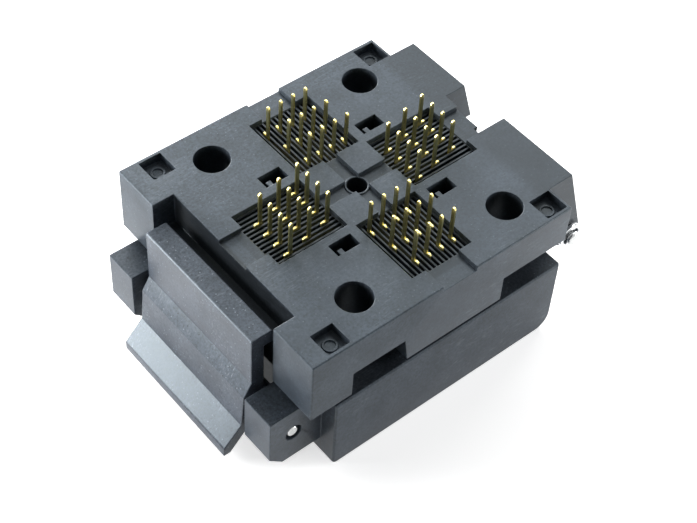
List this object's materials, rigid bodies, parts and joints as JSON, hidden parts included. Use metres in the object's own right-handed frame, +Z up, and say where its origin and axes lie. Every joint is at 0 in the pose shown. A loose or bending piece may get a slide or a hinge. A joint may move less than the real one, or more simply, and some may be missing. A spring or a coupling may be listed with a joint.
{
  "type": "test socket",
  "caption": "Clamshell test socket for a quad flat package, lying upside down on its lid with its solder tails up, hinged at one end and held by a hook latch at the other.",
  "frame": {"origin": "on the outer face of the lid that the socket rests on, under the centre of the contact pattern", "axes": "+X from the latch end to the hinge end, +Z up towards the solder tails, +Y along the hinge pin"},
  "size_m": [0.0415, 0.0294, 0.0208],
  "materials": {
    "base_moulding": "spark-eroded mould face, satin",
    "lid_moulding": "spark-eroded mould face, satin",
    "lever_moulding": "smooth mould face, satin",
    "pad_moulding": "satin",
    "contact_gold": "gold plated",
    "pin_steel": "ground",
    "ring_steel": "zinc plated, bright",
    "spring_steel": "drawn wire"
  },
  "bodies": {
    "lid": {"lid_frame": "lid_moulding", "pressure_pad": "pad_moulding", "latch_pin": "pin_steel"},
    "base": {"base_housing": "base_moulding", "contact_01": "contact_gold", "contact_02": "contact_gold", "contact_03": "contact_gold", "contact_04": "contact_gold", "contact_05": "contact_gold", "contact_06": "contact_gold", "contact_07": "contact_gold", "contact_08": "contact_gold", "contact_09": "contact_gold", "contact_10": "contact_gold", "contact_11": "contact_gold", "contact_12": "contact_gold", "contact_13": "contact_gold", "contact_14": "contact_gold", "contact_15": "contact_gold", "contact_16": "contact_gold", "contact_17": "contact_gold", "contact_18": "contact_gold", "contact_19": "contact_gold", "contact_20": "contact_gold", "contact_21": "contact_gold", "contact_22": "contact_gold", "contact_23": "contact_gold", "contact_24": "contact_gold", "contact_25": "contact_gold", "contact_26": "contact_gold", "contact_27": "contact_gold", "contact_28": "contact_gold", "contact_29": "contact_gold", "contact_30": "contact_gold", "contact_31": "contact_gold", "contact_32": "contact_gold", "contact_33": "contact_gold", "contact_34": "contact_gold", "contact_35": "contact_gold", "contact_36": "contact_gold", "contact_37": "contact_gold", "contact_38": "contact_gold", "contact_39": "contact_gold", "contact_40": "contact_gold", "contact_41": "contact_gold", "contact_42": "contact_gold", "contact_43": "contact_gold", "contact_44": "contact_gold", "contact_45": "contact_gold", "contact_46": "contact_gold", "contact_47": "contact_gold", "contact_48": "contact_gold", "hinge_pin": "pin_steel", "e_ring_front": "ring_steel", "e_ring_back": "ring_steel", "hinge_spring": "spring_steel"},
    "latch": {"latch_lever": "lever_moulding", "latch_spring": "spring_steel"}
  },
  "joints": [
    {"name": "lid_hinge", "type": "hinge", "parent": "lid", "child": "base", "pos_m": [0.018, 0, 0.00845], "axis": [0, 1, 0], "range_deg": [0, 100], "stiffness_Nm_per_rad": 0.0003, "springref_deg": 108.86},
    {"name": "latch_pivot", "type": "hinge", "parent": "lid", "child": "latch", "pos_m": [-0.01725, 0, 0.0059], "axis": [0, -1, 0], "range_deg": [0, 9], "stiffness_Nm_per_rad": 0.02}
  ]
}
